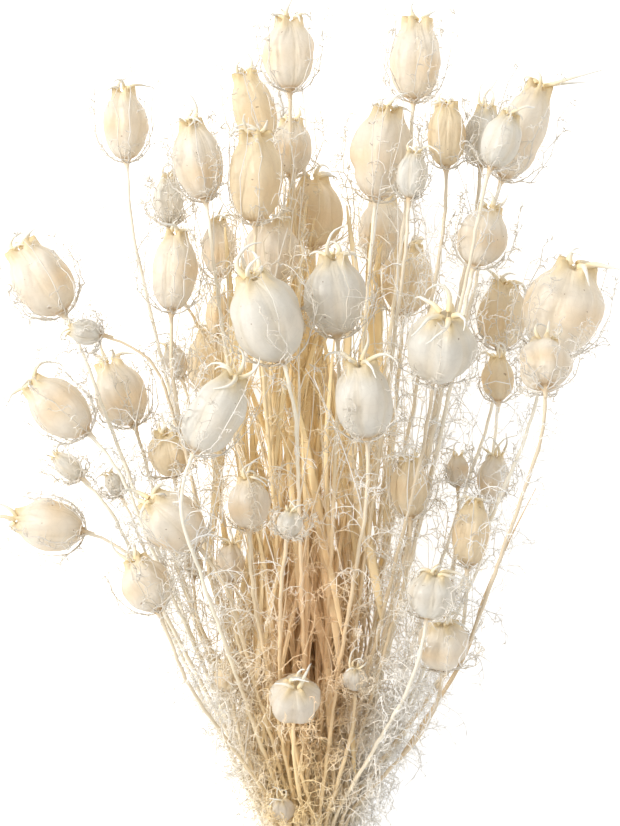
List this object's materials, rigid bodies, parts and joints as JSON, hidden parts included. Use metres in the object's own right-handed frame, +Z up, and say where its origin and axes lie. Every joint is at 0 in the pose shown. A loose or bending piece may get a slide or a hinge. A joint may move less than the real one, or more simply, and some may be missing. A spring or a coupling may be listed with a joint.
{
  "type": "dried nigella seed pod bunch",
  "caption": "Tied bunch of dried, bleached love-in-a-mist seed pods on thin stems, with lacy thread-like bracts, lying on its side.",
  "frame": {"origin": "middle of the flat underside of the tie, on the surface that the bunch lies on", "axes": "+Z up from that surface, +Y along the bunch from the cut ends to the pods, +X across it"},
  "size_m": [0.2463, 0.4518, 0.1499],
  "materials": {
    "bleached": "papery, bleached almost white",
    "cream": "papery, cream",
    "straw": "papery, straw coloured",
    "raffia": "dry plant fibre"
  },
  "bodies": {
    "root": {"stem_01": "cream", "stem_02": "cream", "stem_03": "straw", "stem_04": "cream", "stem_05": "straw", "stem_06": "cream", "stem_08": "cream", "stem_09": "cream", "stem_10": "bleached", "stem_11": "straw", "stem_12": "bleached", "stem_13": "cream", "stem_14": "bleached", "stem_15": "cream", "stem_17": "cream", "stem_18": "cream", "stem_19": "bleached", "stem_20": "cream", "stem_21": "cream", "stem_22": "cream", "stem_24": "straw", "stem_26": "bleached", "stem_27": "bleached", "stem_28": "bleached", "stem_29": "cream", "stem_30": "cream", "stem_31": "cream", "stem_32": "straw", "stem_33": "straw", "stem_34": "straw", "stem_35": "bleached", "stem_36": "straw", "stem_37": "straw", "stem_38": "cream", "stem_39": "cream", "stem_40": "cream", "stem_41": "cream", "stem_42": "straw", "stem_44": "cream", "stem_45": "cream", "stem_46": "cream", "stem_47": "cream", "stem_49": "straw", "stem_50": "cream", "stem_51": "straw", "stem_52": "bleached", "stem_54": "cream", "stem_55": "bleached", "stem_56": "straw", "stem_57": "cream", "stem_58": "cream", "tie": "raffia"}
  },
  "joints": []
}
